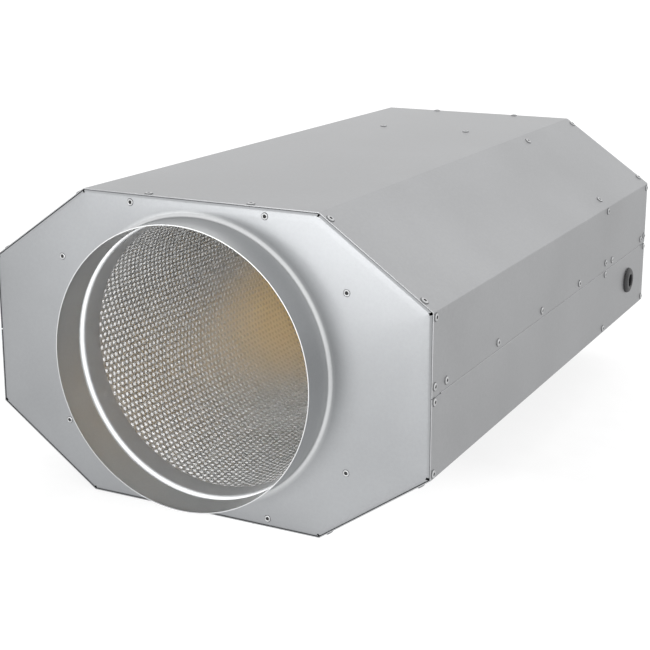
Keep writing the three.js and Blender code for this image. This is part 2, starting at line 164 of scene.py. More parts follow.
def sheet_metal(name, dark, light, rough=(0.34, 0.44), metal=1.0, spangle=0.35, bump=0.06, grain=(1, 1, 1), neck=None):
    """Zinc-coated sheet: fine satin grain, faint crystal mottling, slow clouding, slight rolling waviness.
    neck: (dark, light) of the drawn neck: painted light, lighter than the sheet, in full inside the collar and fading
    out over the outer neck."""
    m = Nodes(name)
    fine = m.noise(1500, 4, 0.6, m.mapping(grain))
    cloud = m.noise(7, 3, 0.5)
    cell = m.voronoi(260, out="Distance")
    v = m.math("ADD", m.math("MULTIPLY", fine, 0.45), m.math("MULTIPLY", cloud, 0.35))
    v = m.math("ADD", v, m.math("MULTIPLY", cell, 0.2 * spangle))
    colour = m.ramp(v, [(0.25, dark), (0.62, light)])
    roughness = m.range(m.math("ADD", m.math("MULTIPLY", fine, 0.5), m.math("MULTIPLY", cloud, 0.5)), 0.3, 0.7, *rough)
    if neck:
        sep = m.add("ShaderNodeSeparateXYZ")
        m.link(m.coord, sep.inputs[0])
        x, z = sep.outputs[0], m.math("SUBTRACT", sep.outputs[2], AX * MM)
        r = m.math("SQRT", m.math("ADD", m.math("MULTIPLY", x, x), m.math("MULTIPLY", z, z)))
        # painted light: inside the collar, and fading over the outer neck, the colour turns to the lighter neck
        # colours; inside the collar the sheet is also rougher
        inside = m.range(r, 0.1563, 0.1567, 1.0, 0.0)
        painted_light_share = m.math("MAXIMUM", inside, m.range(r, 0.1567, 0.166, 0.58, 0.0))
        roughness = m.math("ADD", roughness, m.math("MULTIPLY", inside, 0.24))
        colour = m.mix(painted_light_share, colour, m.ramp(v, [(0.25, neck[0]), (0.62, neck[1])]))
    m.set(Base_Color=colour, Metallic=metal)
    m.bsdf.inputs["Specular Tint"].default_value = (0.72, 0.72, 0.72, 1)
    m.set(Roughness=roughness)
    wave = m.noise(3.2, 1.5, 0.4)
    h = m.math("ADD", m.math("MULTIPLY", fine, 0.12), wave)
    m.bump(h, bump, 0.004)
    return m.mat


MAT = {}
MAT["sheet"] = sheet_metal("galvanised_sheet", (0.305, 0.308, 0.314), (0.40, 0.404, 0.412))
# the end plates carry the painted light on their necks
MAT["end"] = sheet_metal("galvanised_end_plate", (0.285, 0.292, 0.300), (0.365, 0.373, 0.384), rough=(0.32, 0.40), bump=0.05, neck=((0.76, 0.77, 0.77), (0.90, 0.91, 0.905)))
MAT["liner"] = sheet_metal("galvanised_liner", (0.60, 0.605, 0.61), (0.74, 0.745, 0.75), rough=(0.26, 0.34), bump=0.04)
MAT["perforated"] = sheet_metal("perforated_sheet", (0.66, 0.66, 0.66), (0.79, 0.79, 0.788), rough=(0.33, 0.41), bump=0.03)
MAT["rivet"] = sheet_metal("rivet_zinc", (0.42, 0.425, 0.43), (0.56, 0.565, 0.57), rough=(0.28, 0.36), spangle=0.1, bump=0.03)
# the next two are painted shadow: dark rings round the rivet heads, softer on the flush rivets
MAT["rim"] = sheet_metal("rivet_painted_shadow_rim", (0.045, 0.045, 0.047), (0.085, 0.086, 0.09), rough=(0.4, 0.5), spangle=0, bump=0.03)
MAT["soft_painted_shadow_rim"] = sheet_metal("rivet_soft_painted_shadow_rim", (0.13, 0.132, 0.135), (0.20, 0.203, 0.207), rough=(0.4, 0.5), spangle=0, bump=0.03)
MAT["lip"] = sheet_metal("galvanised_lip", (0.36, 0.365, 0.37), (0.47, 0.475, 0.48), rough=(0.46, 0.54), bump=0.04)
MAT["steel"] = sheet_metal("machined_steel", (0.50, 0.51, 0.52), (0.70, 0.71, 0.72), rough=(0.2, 0.3), spangle=0, grain=(1, 0.04, 1), bump=0.03)
MAT["impeller"] = sheet_metal("yellow_passivated_steel", (0.70, 0.41, 0.10), (0.92, 0.60, 0.19), rough=(0.56, 0.68), metal=0.06, spangle=0.6, bump=0.05)
MAT["hub"] = sheet_metal("thinly_passivated_steel", (0.52, 0.44, 0.30), (0.68, 0.59, 0.42), rough=(0.42, 0.52), metal=0.7, spangle=0.6, bump=0.05)


def cast_metal():
    m = Nodes("cast_aluminium")
    f = m.noise(900, 5, 0.7)
    m.set(Base_Color=m.ramp(f, [(0.3, (0.42, 0.43, 0.44)), (0.7, (0.60, 0.61, 0.62))]), Metallic=0.9, Roughness=m.range(f, 0.3, 0.7, 0.42, 0.6))
    m.bump(f, 0.25, 0.0006)
    return m.mat


def fleece():
    """Non-woven glass fleece: matted white fibres."""
    m = Nodes("white_fleece")
    a = m.noise(900, 6, 0.7, m.mapping((1, 0.25, 1)), 0.6)
    b = m.noise(1300, 5, 0.7, m.mapping((0.3, 1, 0.3)), 0.6)
    v = m.math("MAXIMUM", a, b)
    m.set(Base_Color=m.ramp(v, [(0.35, (0.49, 0.49, 0.483)), (0.7, (0.66, 0.66, 0.655))]), Roughness=0.95)
    m.bsdf.inputs["Sheen Weight"].default_value = 0.2
    m.bump(v, 0.6, 0.0008)
    return m.mat


def wool():
    m = Nodes("mineral_wool")
    a = m.noise(500, 8, 0.75, m.mapping((1, 0.2, 1)), 1.0)
    c = m.noise(14, 3)
    v = m.math("ADD", m.math("MULTIPLY", a, 0.7), m.math("MULTIPLY", c, 0.3))
    m.set(Base_Color=m.ramp(v, [(0.3, (0.42, 0.34, 0.13)), (0.7, (0.75, 0.66, 0.34))]), Roughness=1.0)
    m.bump(a, 0.9, 0.003)
    return m.mat


def rubber():
    m = Nodes("black_rubber")
    a = m.noise(1400, 4, 0.6)
    b = m.noise(60, 3, 0.5)
    m.set(Base_Color=m.ramp(b, [(0.3, (0.010, 0.010, 0.011)), (0.75, (0.032, 0.032, 0.034))]), Roughness=m.range(a, 0.3, 0.7, 0.42, 0.6))
    m.bump(a, 0.2, 0.0004)
    return m.mat


def plastic(name, c0, c1, rough=(0.4, 0.5)):
    m = Nodes(name)
    a = m.noise(1100, 3, 0.5)
    b = m.noise(20, 2, 0.5)
    m.set(Base_Color=m.ramp(b, [(0.3, c0), (0.7, c1)]), Roughness=m.range(a, 0.3, 0.7, *rough))
    m.bump(a, 0.15, 0.0004)
    return m.mat


def winding():
    m = Nodes("copper_winding")
    w = m.add("ShaderNodeTexWave", wave_type="BANDS", bands_direction="Y")
    w.inputs["Scale"].default_value = 260
    w.inputs["Distortion"].default_value = 1.5
    m.link(m.coord, w.inputs["Vector"])
    m.set(Base_Color=m.ramp(w.outputs["Fac"], [(0.2, (0.20, 0.07, 0.02)), (0.8, (0.62, 0.28, 0.10))]), Metallic=0.6, Roughness=0.35)
    m.bump(w.outputs["Fac"], 0.5, 0.0008)
    return m.mat


def painted_stem_shade():
    """Broken end of a rivet's pull stem in its shallow dimple, near black: painted shade of the rivet's hollow bore.
    """
    m = Nodes("rivet_stem_painted_shade")
    a = m.noise(3000, 3, 0.6)
    m.set(Base_Color=m.ramp(a, [(0.3, (0.012, 0.012, 0.012)), (0.7, (0.04, 0.04, 0.04))]), Metallic=0.2, Roughness=0.8)
    return m.mat


MAT["cast"] = cast_metal()
MAT["fleece"] = fleece()
MAT["wool"] = wool()
MAT["rubber"] = rubber()
MAT["blackplastic"] = plastic("black_plastic", (0.018, 0.019, 0.02), (0.035, 0.036, 0.038))
MAT["greyplastic"] = plastic("grey_plastic", (0.50, 0.51, 0.52), (0.60, 0.61, 0.62))
MAT["winding"] = winding()
MAT["stem"] = painted_stem_shade()


# ---- mesh helpers ---------------------------------------------------------------------------
def finish_mesh(name, verts, faces, mat, body, slot, replaces=(), sharp=32, extra=None, face_mats=None):
    """verts in millimetres round the duct axis; the object is in the row frame, in metres."""
    me = bpy.data.meshes.new(name)
    me.from_pydata([(x * MM, y * MM, (z + AX) * MM) for x, y, z in verts], [], faces)
    me.materials.append(MAT[mat])
    if extra:
        me.materials.append(MAT[extra])
    if face_mats:
        me.polygons.foreach_set("material_index", face_mats)
    me.polygons.foreach_set("use_smooth", [True] * len(me.polygons))
    me.update()
    me.validate()
    me.set_sharp_from_angle(angle=math.radians(sharp))
    o = bpy.data.objects.new(name, me)
    bpy.context.scene.collection.objects.link(o)
    if body:
        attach(o, body)
    if replaces:
        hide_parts(*([replaces] if isinstance(replaces, str) else replaces))
    return o


def apply_modifiers(o, sharp=32):
    """Keeps the modified shape as the mesh, with no modifier left."""
    bpy.context.view_layer.update()
    dg = bpy.context.evaluated_depsgraph_get()
    me = bpy.data.meshes.new_from_object(o.evaluated_get(dg), preserve_all_data_layers=True, depsgraph=dg)
    old = o.data
    o.modifiers.clear()
    o.data = me
    me.polygons.foreach_set("use_smooth", [True] * len(me.polygons))
    me.set_sharp_from_angle(angle=math.radians(sharp))
    bpy.data.meshes.remove(old)
    return o


def turned(profile, seg=128, closed=True, axis="y", at=(0, 0, 0), flip=False):
    """Body of revolution. profile is (r, h) pairs; a point with r 0 becomes one vertex on the axis."""
    verts, rows = [], []
    for r, h in profile:
        if r < 1e-6:
            rows.append([len(verts)] * seg)
            pts = [(0.0, h, 0.0)]
        else:
            rows.append([len(verts) + k for k in range(seg)])
            pts = [(r * math.sin(2 * math.pi * k / seg), h, r * math.cos(2 * math.pi * k / seg)) for k in range(seg)]
        for x, y, z in pts:
            if axis == "y":
                p = (x, y, z)
            elif axis == "-y":
                p = (-x, -y, z)
            elif axis == "x":
                p = (y, -x, z)
            else:
                p = (-y, x, z)
            verts.append((p[0] + at[0], p[1] + at[1], p[2] + at[2]))
    faces = []
    n = len(rows)
    for i in range(n if closed else n - 1):
        a, b = rows[i], rows[(i + 1) % n]
        for k in range(seg):
            l = (k + 1) % seg
            q = []
            for v in (a[k], b[k], b[l], a[l]):
                if v not in q:
                    q.append(v)
            if len(q) > 2:
                faces.append(tuple(reversed(q)) if flip else tuple(q))
    return verts, faces


def arc(cr, ch, r, a0, a1, n):
    return [(cr + r * math.cos(math.radians(a0 + (a1 - a0) * k / n)), ch + r * math.sin(math.radians(a0 + (a1 - a0) * k / n))) for k in range(n + 1)]


def join(*parts):
    verts, faces = [], []
    for v, f in parts:
        o = len(verts)
        verts += v
        faces += [tuple(i + o for i in q) for q in f]
    return verts, faces


def outward(verts, faces):
    """Turns every face of a closed body outward, if its volume comes out negative."""
    vol = 0.0
    for q in faces:
        p0 = Vector(verts[q[0]])
        for i in range(1, len(q) - 1):
            vol += p0.dot(Vector(verts[q[i]]).cross(Vector(verts[q[i + 1]])))
    return verts, faces if vol > 0 else [tuple(reversed(q)) for q in faces]


# casing outline set in by `off`
NRM = math.hypot(B - ZS, A - XT)
NX, NZ = (B - ZS) / NRM, (A - XT) / NRM
C0 = NX * A + NZ * ZS


def corners(off, side=None):
    side = off if side is None else side
    x, z, c = A - side, B - off, C0 - off
    return x, z, (c - NX * x) / NZ, (c - NZ * z) / NX


def octagon(off, side=None):
    x, z, zs, xt = corners(off, side)
    return [(x, -zs), (x, zs), (xt, z), (-xt, z), (-x, zs), (-x, -zs), (-xt, -z), (xt, -z)]


def ray_octagon(th, off, side=None):
    """Where the ray at angle th from the axis meets the octagon set in by off."""
    side = off if side is None else side
    dx, dz = math.sin(th), math.cos(th)
    best = 1e9
    for nx, nz, c in ((1, 0, A - side), (-1, 0, A - side), (0, 1, B - off), (0, -1, B - off),
                      (NX, NZ, C0 - off), (-NX, NZ, C0 - off), (NX, -NZ, C0 - off), (-NX, -NZ, C0 - off)):
        d = nx * dx + nz * dz
        if d > 1e-9:
            best = min(best, c / d)
    return best * dx, best * dz


def fillet_path(pts, radius, n=5):
    """Open path with each inner corner rounded."""
    out = [pts[0]]
    for p0, p1, p2 in zip(pts, pts[1:], pts[2:]):
        a, b, c = Vector(p0), Vector(p1), Vector(p2)
        u, v = (a - b).normalized(), (c - b).normalized()
        ang = u.angle(v)
        if radius <= 0 or ang > math.radians(176):
            out.append(p1)
            continue
        t = radius / math.tan(ang / 2)
        s, e = b + u * t, b + v * t
        centre = b + (u + v).normalized() * (radius / math.sin(ang / 2))
        a0 = math.atan2(s.y - centre.y, s.x - centre.x)
        a1 = math.atan2(e.y - centre.y, e.x - centre.x)
        while a1 - a0 > math.pi:
            a1 -= 2 * math.pi
        while a1 - a0 < -math.pi:
            a1 += 2 * math.pi
        for k in range(n + 1):
            th = a0 + (a1 - a0) * k / n
            out.append((centre.x + radius * math.cos(th), centre.y + radius * math.sin(th)))
    out.append(pts[-1])
    return out


def folded_strip(outer, inner, y0, y1, cuts=24):
    """Sheet folded along an outline: outer and inner faces with as many points, swept along the axis."""
    n = len(outer)
    ys = [y0 + (y1 - y0) * k / cuts for k in range(cuts + 1)]
    verts = []
    for y in ys:
        verts += [(x, y, z) for x, z in outer] + [(x, y, z) for x, z in inner]
    faces = []
    for j in range(cuts):
        a, b = j * 2 * n, (j + 1) * 2 * n
        for i in range(n - 1):
            faces.append((a + i, b + i, b + i + 1, a + i + 1))
            faces.append((a + n + i, a + n + i + 1, b + n + i + 1, b + n + i))
        faces.append((a, a + n, b + n, b))
        faces.append((a + n - 1, b + n - 1, b + 2 * n - 1, a + 2 * n - 1))
    last = cuts * 2 * n
    for i in range(n - 1):
        faces.append((i, i + 1, n + i + 1, n + i))
        faces.append((last + i, last + n + i, last + n + i + 1, last + i + 1))
    return outward(verts, faces)


# ---- casing shells --------------------------------------------------------------------------
BEND = 2.6
xo, zo, zso, xto = corners(0)
xi, zi, zsi, xti = corners(SHEET)
up_out = fillet_path([(xo, SEAM_Z), (xo, zso), (xto, zo), (-xto, zo), (-xo, zso), (-xo, SEAM_Z)], BEND)
up_in = fillet_path([(xi, SEAM_Z), (xi, zsi), (xti, zi), (-xti, zi), (-xi, zsi), (-xi, SEAM_Z)], BEND - SHEET)
v, f = folded_strip(up_out, up_in, -END, END)
finish_mesh("casing_upper_shell", v, f, "sheet", "casing", "galvanised_sheet", "upper_casing_shell", sharp=40)

jo, ji = A - SHEET - GAP, A - 2 * SHEET - GAP
zj, zb, ztop = SEAM_Z - 1.1, SEAM_Z - 0.2, 20.0
lo_out = fillet_path([(-jo, ztop), (-jo, zb), (-xo, zj), (-xo, -zso), (-xto, -zo), (xto, -zo), (xo, -zso), (xo, zj), (jo, zb), (jo, ztop)], 0.8, 5)
lo_in = fillet_path([(-ji, ztop), (-ji, zb - 0.5), (-xi, zj - 0.6), (-xi, -zsi), (-xti, -zi), (xti, -zi), (xi, -zsi), (xi, zj - 0.6), (ji, zb - 0.5), (ji, ztop)], 0.5, 5)
v, f = folded_strip(lo_out, lo_in, -END, END)
lower = finish_mesh("casing_lower_shell", v, f, "sheet", "casing", "galvanised_sheet", "lower_casing_shell", sharp=40)


def box_cutter(x0, x1, y0, y1, z0, z1):
    v = [(x, y, z) for x in (x0, x1) for y in (y0, y1) for z in (z0, z1)]
    return v, [(0, 1, 3, 2), (4, 6, 7, 5), (0, 4, 5, 1), (2, 3, 7, 6), (0, 2, 6, 4), (1, 5, 7, 3)]


def subtract(o, *tools, sharp=40):
    cutters = []
    for k, (v, f) in enumerate(tools):
        me = bpy.data.meshes.new(f"cut{k}")
        v, f = outward(v, f)
        me.from_pydata([(x * MM, y * MM, (z + AX) * MM) for x, y, z in v], [], f)
        me.update()
        c = bpy.data.objects.new(f"cut{k}", me)
        bpy.context.scene.collection.objects.link(c)
        m = o.modifiers.new(f"cut{k}", "BOOLEAN")
        m.operation, m.object, m.solver = "DIFFERENCE", c, "EXACT"
        cutters.append(c)
    apply_modifiers(o, sharp)
    for c in cutters:
        me = c.data
        bpy.data.objects.remove(c)
        bpy.data.meshes.remove(me)


hole = turned([(0, -6), (14.2, -6), (14.2, 6), (0, 6)], 48, closed=False, axis="x", at=(A, GROMMET_Y, GROMMET_Z))
reliefs = []
for s in (-1, 1):
    for e in (-1, 1):
        x0, x1 = (ji - 2, xo + 2) if s > 0 else (-xo - 2, -ji + 2)
        y0, y1 = (END - FLANGE - 3, END + 2) if e > 0 else (-END - 2, -END + FLANGE + 3)
        reliefs.append(box_cutter(x0, x1, y0, y1, zj - 0.5, ztop + 2))
subtract(lower, hole, *reliefs)


# ---- pressed plates: octagon with folded flange and a drawn neck -----------------------------
def pressed_plate(name, face, back, neck, corner_cut=True, off=SHEET + GAP, side=None, flange=FLANGE, thick=SHEET, bend=3.4,
                  mat="end", slot="galvanised_sheet", replaces=()):
    """face: y of the outer face. back: +1 if the flange folds towards +Y, else -1.
    neck: list of (r, depth) from the neck's tip to the plate, depth measured behind the face (negative stands proud)."""
    side = off if side is None else side
    crn = [math.atan2(x, z) % (2 * math.pi) for x, z in octagon(off + bend, side + bend)]
    notch = 1.2 / 300.0
    ths = [2 * math.pi * k / 160 for k in range(160)]
    for c in crn:
        ths = [t for t in ths if abs((t - c + math.pi) % (2 * math.pi) - math.pi) > 0.012]
        ths += [c - notch, c, c + notch]
    ths = sorted(t % (2 * math.pi) for t in ths)
    rings = [("c", r, d) for r, d in neck]
    r_last = neck[-1][0]
    rings.append(("m", (r_last, 0.25), 0.0))
    dip = 0.3 if flange else 0.0
    if flange:
        rings += [("o", bend + 6.8, 0.0), ("o", bend + 6.0, 0.03), ("o", bend + 3.6, 0.13), ("o", bend + 1.4, 0.24)]
    else:
        rings.append(("o", bend + 2.0, 0.0))
    n_plate = len(rings)
    if flange:
        for k in range(7):
            a = math.radians(90.0 * k / 6)
            rings.append(("o", bend - bend * math.sin(a), dip + bend - bend * math.cos(a)))
        n_plate = len(rings) - 6
        rings.append(("o", 0.0, flange))
    verts, rows = [], []
    for kind, q, d in rings:
        rows.append(len(verts))
        y = face + back * d
        for t in ths:
            if kind == "c":
                x, z = q * math.sin(t), q * math.cos(t)
            elif kind == "m":
                x1, z1 = ray_octagon(t, off + bend + 6.8, side + bend + 6.8) if flange else ray_octagon(t, off + bend, side + bend)
                R = q[0] + (math.hypot(x1, z1) - q[0]) * q[1]
                x, z = R * math.sin(t), R * math.cos(t)
            else:
                x, z = ray_octagon(t, off + q, side + q)
            verts.append((x, y, z))
    faces = []
    n = len(ths)
    for i in range(len(rings) - 1):
        a, b = rows[i], rows[i + 1]
        for k in range(n):
            l = (k + 1) % n
            if flange and corner_cut and i >= n_plate - 1:
                mid = (ths[k] + ((ths[l] - ths[k]) % (2 * math.pi)) / 2) % (2 * math.pi)
                if any(abs((mid - c + math.pi) % (2 * math.pi) - math.pi) < notch for c in crn):
                    continue
            q = (a + k, b + k, b + l, a + l)
            faces.append(q if back > 0 else tuple(reversed(q)))
    o = finish_mesh(name, verts, faces, mat, "casing", slot, replaces)
    s = o.modifiers.new("sheet", "SOLIDIFY")
    s.thickness = thick * MM
    s.offset = -1
    s.use_even_offset = True
    apply_modifiers(o, 34)
    return o


def neck_out(fil=6.0, r=SPIGOT_R, length=SPIGOT_LEN, n=8):
    tip = [(r, -length), (r, -length * 0.6), (r, -fil - 4)]
    return tip + [(r + fil - fil * math.cos(math.radians(90.0 * k / n)), -fil + fil * math.sin(math.radians(90.0 * k / n))) for k in range(n + 1)]


pressed_plate("end_plate_front", -END, 1, neck_out(), replaces="front_end_plate")
pressed_plate("end_plate_rear", END, -1, neck_out(), replaces="rear_end_plate")


def neck_in(fil=5.0, r=SPIGOT_R - SHEET, depth=31.0, n=8):
    tip = [(r, depth), (r, depth * 0.6), (r, fil + 3)]
    return tip + [(r + fil - fil * math.cos(math.radians(90.0 * k / n)), fil - fil * math.sin(math.radians(90.0 * k / n))) for k in range(n + 1)]


LINER = SHEET + GAP
for end, sgn in (("front", -1), ("rear", 1)):
    pressed_plate(f"inner_plate_{end}", sgn * (END - LINER), -sgn, [(r, d - LINER) for r, d in neck_in(5.0, 156.0, 31.0)], flange=0, off=4.0,
                  mat="lip", replaces=f"{end}_inner_plate")
pressed_plate("fan_bulkhead", BULK_Y, 1, [(157.2, -24), (157.2, -12), (157.2, -7)] + [(157.2 + 3.3 - 3.3 * math.cos(math.radians(15 * k)), -3.3 + 3.3 * math.sin(math.radians(15 * k))) for k in range(7)],
              side=2 * (SHEET + GAP) + 0.1, thick=1.2, mat="liner", replaces="bulkhead_plate")


# ---- perforated tube ------------------------------------------------------------------------
ROWS, PITCH, HOLE_R = 142, 8.0, 2.52
T_Y0, T_Y1 = -END + 10, BULK_Y - 5
FIRST = -END + 37.0
NH = 68


def perforated(name, row0, row1, replaces):
    """Rows row0..row1-1 of the staggered pattern, as a sheet with real holes and a wall thickness."""
    half = math.pi / ROWS
    hs = 10
    ring = [(math.cos(2 * math.pi * (k + 0.5) / hs), math.sin(2 * math.pi * (k + 0.5) / hs)) for k in range(hs)]
    verts, faces = [], []
    r0, r1 = TUBE_R, TUBE_R + SHEET

    def put(th, y, r):
        verts.append((r * math.sin(th), y, r * math.cos(th)))
        return len(verts) - 1

    grid = {}

    def corner(line, j, s):
        """Shared point on the line between two rows; j counts quarter-stagger steps along the tube."""
        key = (line, j, s)
        if key not in grid:
            grid[key] = put(2 * math.pi * line / ROWS - half, FIRST + (j - 1) * PITCH / 2, r1 if s else r0)
        return grid[key]

    for row in range(row0, row1):
        th = 2 * math.pi * row / ROWS
        shift = row % 2
        for k in range(NH):
            j = 2 * k + shift                     # corners at j, j+1, j+2; hole centre at j+1
            yc = FIRST + (j) * PITCH / 2
            h = [[], []]
            for s, r in ((0, r0), (1, r1)):
                for c, d in ring:
                    h[s].append(put(th + HOLE_R * c / r0, yc + HOLE_R * d, r))
            for s in (0, 1):
                L = [corner(row, j + m, s) for m in (0, 1, 2)]
                R = [corner(row + 1, j + m, s) for m in (0, 1, 2)]
                q = h[s]
                # ring starts just above +theta and runs through +y; split the cell across its middle
                top = [R[1], R[2], L[2], L[1]] + [q[m] for m in (4, 3, 2, 1, 0)]
                bot = [L[1], L[0], R[0], R[1]] + [q[m] for m in (9, 8, 7, 6, 5)]
                gap1 = [R[1], q[0], q[9]]
                gap2 = [L[1], q[5], q[4]]
                for poly in (top, bot, gap1, gap2):
                    faces.append(tuple(poly) if s == 0 else tuple(reversed(poly)))
            for m in range(hs):
                l = (m + 1) % hs
                faces.append((h[0][m], h[1][m], h[1][l], h[0][l]))
        # plain margins at both ends
        for j_edge, y_end, s_dir in ((shift, T_Y0, 1), (2 * (NH - 1) + shift + 2, T_Y1, -1)):
            for s, r in ((0, r0), (1, r1)):
                L, R = corner(row, j_edge, s), corner(row + 1, j_edge, s)
                kl, kr = ("e", row, y_end, s), ("e", row + 1, y_end, s)
                for key, line in ((kl, row), (kr, row + 1)):
                    if key not in grid:
                        grid[key] = put(2 * math.pi * line / ROWS - half, y_end, r)
                q = (L, R, grid[kr], grid[kl])
                if (s_dir < 0) == (s == 0):
                    q = tuple(reversed(q))
                faces.append(q)
            q = (grid[("e", row, y_end, 0)], grid[("e", row + 1, y_end, 0)], grid[("e", row + 1, y_end, 1)], grid[("e", row, y_end, 1)])
            faces.append(q if s_dir < 0 else tuple(reversed(q)))
    return finish_mesh(name, verts, faces, "perforated", "casing", "perforated_sheet", replaces, sharp=40)


perforated("perforated_tube_sector_1", 0, 48, "front_perforated_tube")
perforated("perforated_tube_sector_2", 48, 96, "front_perforated_tube")
perforated("perforated_tube_sector_3", 96, 142, "front_perforated_tube")

# ---- fleece -----------------------------------------------------------------------------------
rng = random.Random(7)


def fleece_wrap():
    seg, cuts = 180, 120
    y0, y1 = T_Y0 + 1, T_Y1 - 1
    wob = [[rng.uniform(-0.12, 0.12) for _ in range(seg)] for _ in range(cuts + 1)]
    verts, faces = [], []
    for s, r in ((0, TUBE_R + SHEET + 0.35), (1, TUBE_R + SHEET + 3.3)):
        for j in range(cuts + 1):
            y = y0 + (y1 - y0) * j / cuts
            for k in range(seg):
                rr = r + (wob[j][k] if 0 < j < cuts else 0)
                t = 2 * math.pi * k / seg
                verts.append((rr * math.sin(t), y, rr * math.cos(t)))
    n = seg * (cuts + 1)
    for j in range(cuts):
        for k in range(seg):
            l = (k + 1) % seg
            a, b = j * seg, (j + 1) * seg
            faces.append((a + k, a + l, b + l, b + k))
            faces.append((n + a + k, n + b + k, n + b + l, n + a + l))
    for k in range(seg):
        l = (k + 1) % seg
        faces.append((k, n + k, n + l, l))
        e = cuts * seg
        faces.append((e + k, e + l, n + e + l, n + e + k))
    v, f = outward(verts, faces)
    finish_mesh("fleece_wrap", v, f, "fleece", "casing", "white_fleece", "front_fleece_wrap", sharp=60)


fleece_wrap()

# ---- fan ------------------------------------------------------------------------------------
H0, H1 = BULK_Y + 1.8, END - 10
housing = [(TUBE_R, H0), (162.5, H0)] + [(162.5, H0 + 2), (161.0, H0 + 2)] + arc(161.0, H0 + 3.4, 1.4, 270, 180, 4) + \
          [(TUBE_R + 2, H1 - 0.6), (TUBE_R + 1.4, H1), (TUBE_R + 0.6, H1), (TUBE_R, H1 - 0.6)]
v, f = outward(*turned(housing, 160))
house = finish_mesh("fan_housing_tube", v, f, "liner", "casing", "galvanised_sheet", "fan_housing")
subtract(house, turned([(0, 0), (5.2, 0), (5.2, 60), (0, 60)], 32, closed=False, axis="x", at=(120, 345, -40)), sharp=34)

cone_out = [(157.3, H0 + 0.5), (157.3, H0 + 9), (155.9, H0 + 9), (155.9, H0 + 3.4)]
cone_back = [(152.0, H0 + 4.6), (148.5, H0 + 7.4), (145.5, H0 + 11.4), (143.2, H0 + 16.2), (141.6, H0 + 21), (141.1, H0 + 24)]
cone_face = [(139.9, H0 + 24), (140.2, H0 + 20.6), (141.8, H0 + 15.6), (144.2, H0 + 10.4), (147.4, H0 + 6.0), (151.2, H0 + 2.6), (155.2, H0 + 0.6)]
v, f = outward(*turned(cone_out + cone_back + cone_face, 144))
finish_mesh("inlet_cone", v, f, "liner", "casing", "galvanised_sheet", "fan_inlet_cone", sharp=50)


def blade(pos, half, nu, nv):
    """Thin sheet between root and tip, both faces and its rim."""
    verts, faces = [], []
    idx = lambda s, i, j: s * (nu + 1) * (nv + 1) + i * (nv + 1) + j
    for s in (-1, 1):
        for i in range(nu + 1):
            for j in range(nv + 1):
                v = j / nv
                t = half * (1 - 0.65 * max(0.0, (abs(v - 0.5) * 2 - 0.7) / 0.3))
                verts.append(pos(i / nu, v, s * t))
    for i in range(nu):
        for j in range(nv):
            q = (idx(0, i, j), idx(0, i + 1, j), idx(0, i + 1, j + 1), idx(0, i, j + 1))
            faces.append(q)
            faces.append(tuple(k + (nu + 1) * (nv + 1) for k in reversed(q)))
    rim = [(i, 0) for i in range(nu)] + [(nu, j) for j in range(nv)] + [(i, nv) for i in range(nu, 0, -1)] + [(0, j) for j in range(nv, 0, -1)]
    for k, (i0, j0) in enumerate(rim):
        i1, j1 = rim[(k + 1) % len(rim)]
        faces.append((idx(0, i0, j0), idx(1, i0, j0), idx(1, i1, j1), idx(0, i1, j1)))
    return outward(verts, faces)


def polar(r, t, y):
    return (r * math.cos(t), y, r * math.sin(t))


HUB0, HUB1 = 213.0, 285.0


def hub_r(y):
    return 75 + 20 * (y - HUB0) / (HUB1 - HUB0)


def fan_blade(k):
    base = 2 * math.pi * k / 7 + 0.06

    def pos(u, v, h):
        y = HUB0 + 11 + 52 * v - 3 * u
        root, tip = hub_r(y) - 1.6, 151.5
        r = root + (tip - root) * u
        wrap = (0.95 - 0.3 * u) * v + 0.18 * math.sin(math.pi * v) * (1 - 0.4 * u) - 0.22 * u
        return polar(r, base + wrap + h / r, y + h * 0.75)
    return blade(pos, 1.3, 10, 16)


hub = outward(*turned([(63.3, HUB0), (73.8, HUB0), (75.4, HUB0 + 1.4), (hub_r(HUB0 + 30), HUB0 + 30), (hub_r(HUB1) - 0.3, HUB1 - 0.8), (hub_r(HUB1) - 1, HUB1), (hub_r(HUB1) - 3, HUB1),
                       (hub_r(HUB0 + 4) - 3, HUB0 + 4), (66.3, HUB0 + 4), (66.3, HUB1), (63.3, HUB1)], 96))
finish_mesh("fan_impeller_hub", *hub, "hub", "rotor", "impeller_passivated", "impeller_hub", sharp=34)
for k in range(7):
    finish_mesh(f"fan_blade_{k + 1}", *fan_blade(k), "liner", "rotor", "galvanised_sheet", f"impeller_blade_{k + 1}", sharp=34)

nose = [(0, HUB0 - 26)] + [(74.5 * math.sin(math.radians(90 * k / 14)), HUB0 - 0.5 - 25.5 * math.cos(math.radians(90 * k / 14)) ** 1.15) for k in range(1, 14)] + \
       [(74.5, HUB0 - 0.3), (62.8, HUB0 - 0.3), (62.8, HUB0 + 3.5), (60.8, HUB0 + 3.5), (60.8, HUB0 - 5), (45, HUB0 - 15), (25, HUB0 - 21.2), (0, HUB0 - 23.4)]
v, f = outward(*turned(nose, 96, closed=False))
finish_mesh("impeller_nose", v, f, "impeller", "rotor", "impeller_passivated", "nose_cone", sharp=40)

can = [(8.05, 222), (60.5, 222)] + arc(60.5, 224.5, 2.5, 270, 360, 5) + [(63, 286.5), (62, 288), (60.4, 288), (60, 287.4), (60, 227), (59, 226), (8.05, 226)]
v, f = outward(*turned(can, 96))
finish_mesh("rotor_can", v, f, "steel", "rotor", "machined_steel", "motor_rotor_can")
v, f = outward(*turned([(0, 217), (6.9, 217), (7.9, 218), (7.9, 304), (6.9, 305), (0, 305)], 48, closed=False))
finish_mesh("rotor_shaft", v, f, "steel", "rotor", "machined_steel", "motor_shaft")

